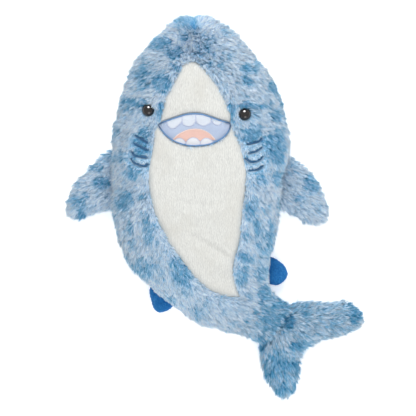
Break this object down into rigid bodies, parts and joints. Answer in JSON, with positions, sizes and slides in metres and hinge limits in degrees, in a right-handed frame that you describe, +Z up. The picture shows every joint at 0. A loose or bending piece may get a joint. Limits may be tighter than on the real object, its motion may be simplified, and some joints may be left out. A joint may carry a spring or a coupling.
{
  "type": "plush shark",
  "caption": "Stuffed plush shark lying on its back, with mottled blue fur, a white ribbed belly, an embroidered mouth, domed eyes and sewn fins that flex.",
  "frame": {"origin": "centre of the footprint, on the surface that the toy lies on", "axes": "+Y from tail to crown, +Z up out of the belly, +X completes the right-handed frame, which is the shark's left side"},
  "size_m": [0.375, 0.481, 0.0977],
  "materials": {
    "mottled_blue_fur": "long mottled pile",
    "white_ribbed_plush": "short ribbed pile",
    "royal_blue_plush": "short pile",
    "mouth_lavender": "felt",
    "teeth_white": "embroidered",
    "tongue_peach": "embroidered",
    "outline_thread": "satin stitch",
    "gill_thread": "thread",
    "eye_black": "glossy",
    "washer_plastic": "moulded",
    "fibre_fill": "loose fibre"
  },
  "bodies": {
    "torso": {"left_side_panel": "mottled_blue_fur", "right_side_panel": "mottled_blue_fur", "back_panel_left": "mottled_blue_fur", "back_panel_right": "mottled_blue_fur", "snout_panel": "white_ribbed_plush", "belly_panel": "white_ribbed_plush", "mouth_lining": "mouth_lavender", "mouth_outline": "outline_thread", "upper_teeth": "teeth_white", "lower_teeth": "teeth_white", "tongue": "tongue_peach", "left_eye": "eye_black", "right_eye": "eye_black", "left_eye_washer": "washer_plastic", "right_eye_washer": "washer_plastic", "left_gill_threads": "gill_thread", "right_gill_threads": "gill_thread", "torso_stuffing": "fibre_fill"},
    "tail_stem": {"tail_stem_front_cover": "mottled_blue_fur", "tail_stem_back_cover": "mottled_blue_fur", "tail_stem_stuffing": "fibre_fill"},
    "tail_fin": {"tail_fin_front_cover": "mottled_blue_fur", "tail_fin_back_cover": "mottled_blue_fur", "tail_fin_stuffing": "fibre_fill"},
    "left_flipper": {"left_flipper_front_cover": "mottled_blue_fur", "left_flipper_back_cover": "mottled_blue_fur", "left_flipper_stuffing": "fibre_fill"},
    "right_flipper": {"right_flipper_front_cover": "mottled_blue_fur", "right_flipper_back_cover": "mottled_blue_fur", "right_flipper_stuffing": "fibre_fill"},
    "left_pelvic_fin": {"left_pelvic_fin_front_cover": "royal_blue_plush", "left_pelvic_fin_back_cover": "royal_blue_plush", "left_pelvic_fin_wadding": "fibre_fill"},
    "right_pelvic_fin": {"right_pelvic_fin_front_cover": "royal_blue_plush", "right_pelvic_fin_back_cover": "royal_blue_plush", "right_pelvic_fin_wadding": "fibre_fill"},
    "dorsal_fin": {"dorsal_fin_left_cover": "mottled_blue_fur", "dorsal_fin_right_cover": "mottled_blue_fur", "dorsal_fin_wadding": "fibre_fill"}
  },
  "joints": [
    {"name": "left_flipper_flap", "type": "hinge", "parent": "torso", "child": "left_flipper", "pos_m": [-0.133, 0.032, 0.0123], "axis": [0, 1, 0], "range_deg": [-20, 55], "stiffness_Nm_per_rad": 0.02},
    {"name": "right_flipper_flap", "type": "hinge", "parent": "torso", "child": "right_flipper", "pos_m": [0.0911, 0.03, 0.0123], "axis": [-0.1552, -0.9879, 0], "range_deg": [-20, 55], "stiffness_Nm_per_rad": 0.02},
    {"name": "left_pelvic_fin_flap", "type": "hinge", "parent": "torso", "child": "left_pelvic_fin", "pos_m": [-0.065, -0.1127, 0.0052], "axis": [-0.7967, 0.6044, 0], "range_deg": [-20, 45], "stiffness_Nm_per_rad": 0.01},
    {"name": "right_pelvic_fin_flap", "type": "hinge", "parent": "torso", "child": "right_pelvic_fin", "pos_m": [0.077, -0.08125, 0.0052], "axis": [-0.0298, -0.9996, 0], "range_deg": [-20, 45], "stiffness_Nm_per_rad": 0.01},
    {"name": "dorsal_fin_fold", "type": "hinge", "parent": "torso", "child": "dorsal_fin", "pos_m": [-0.022, 0.026, 0.0044], "axis": [0, 1, 0], "range_deg": [0, 90]},
    {"name": "tail_wag", "type": "hinge", "parent": "torso", "child": "tail_stem", "pos_m": [0.041, -0.127, 0], "axis": [0, 0, 1], "range_deg": [-26, 10], "stiffness_Nm_per_rad": 0.05},
    {"name": "tail_fin_lift", "type": "hinge", "parent": "tail_stem", "child": "tail_fin", "pos_m": [0.07515, -0.146, 0.0123], "axis": [-0.5995, -0.8004, 0], "range_deg": [-15, 60], "stiffness_Nm_per_rad": 0.02}
  ]
}
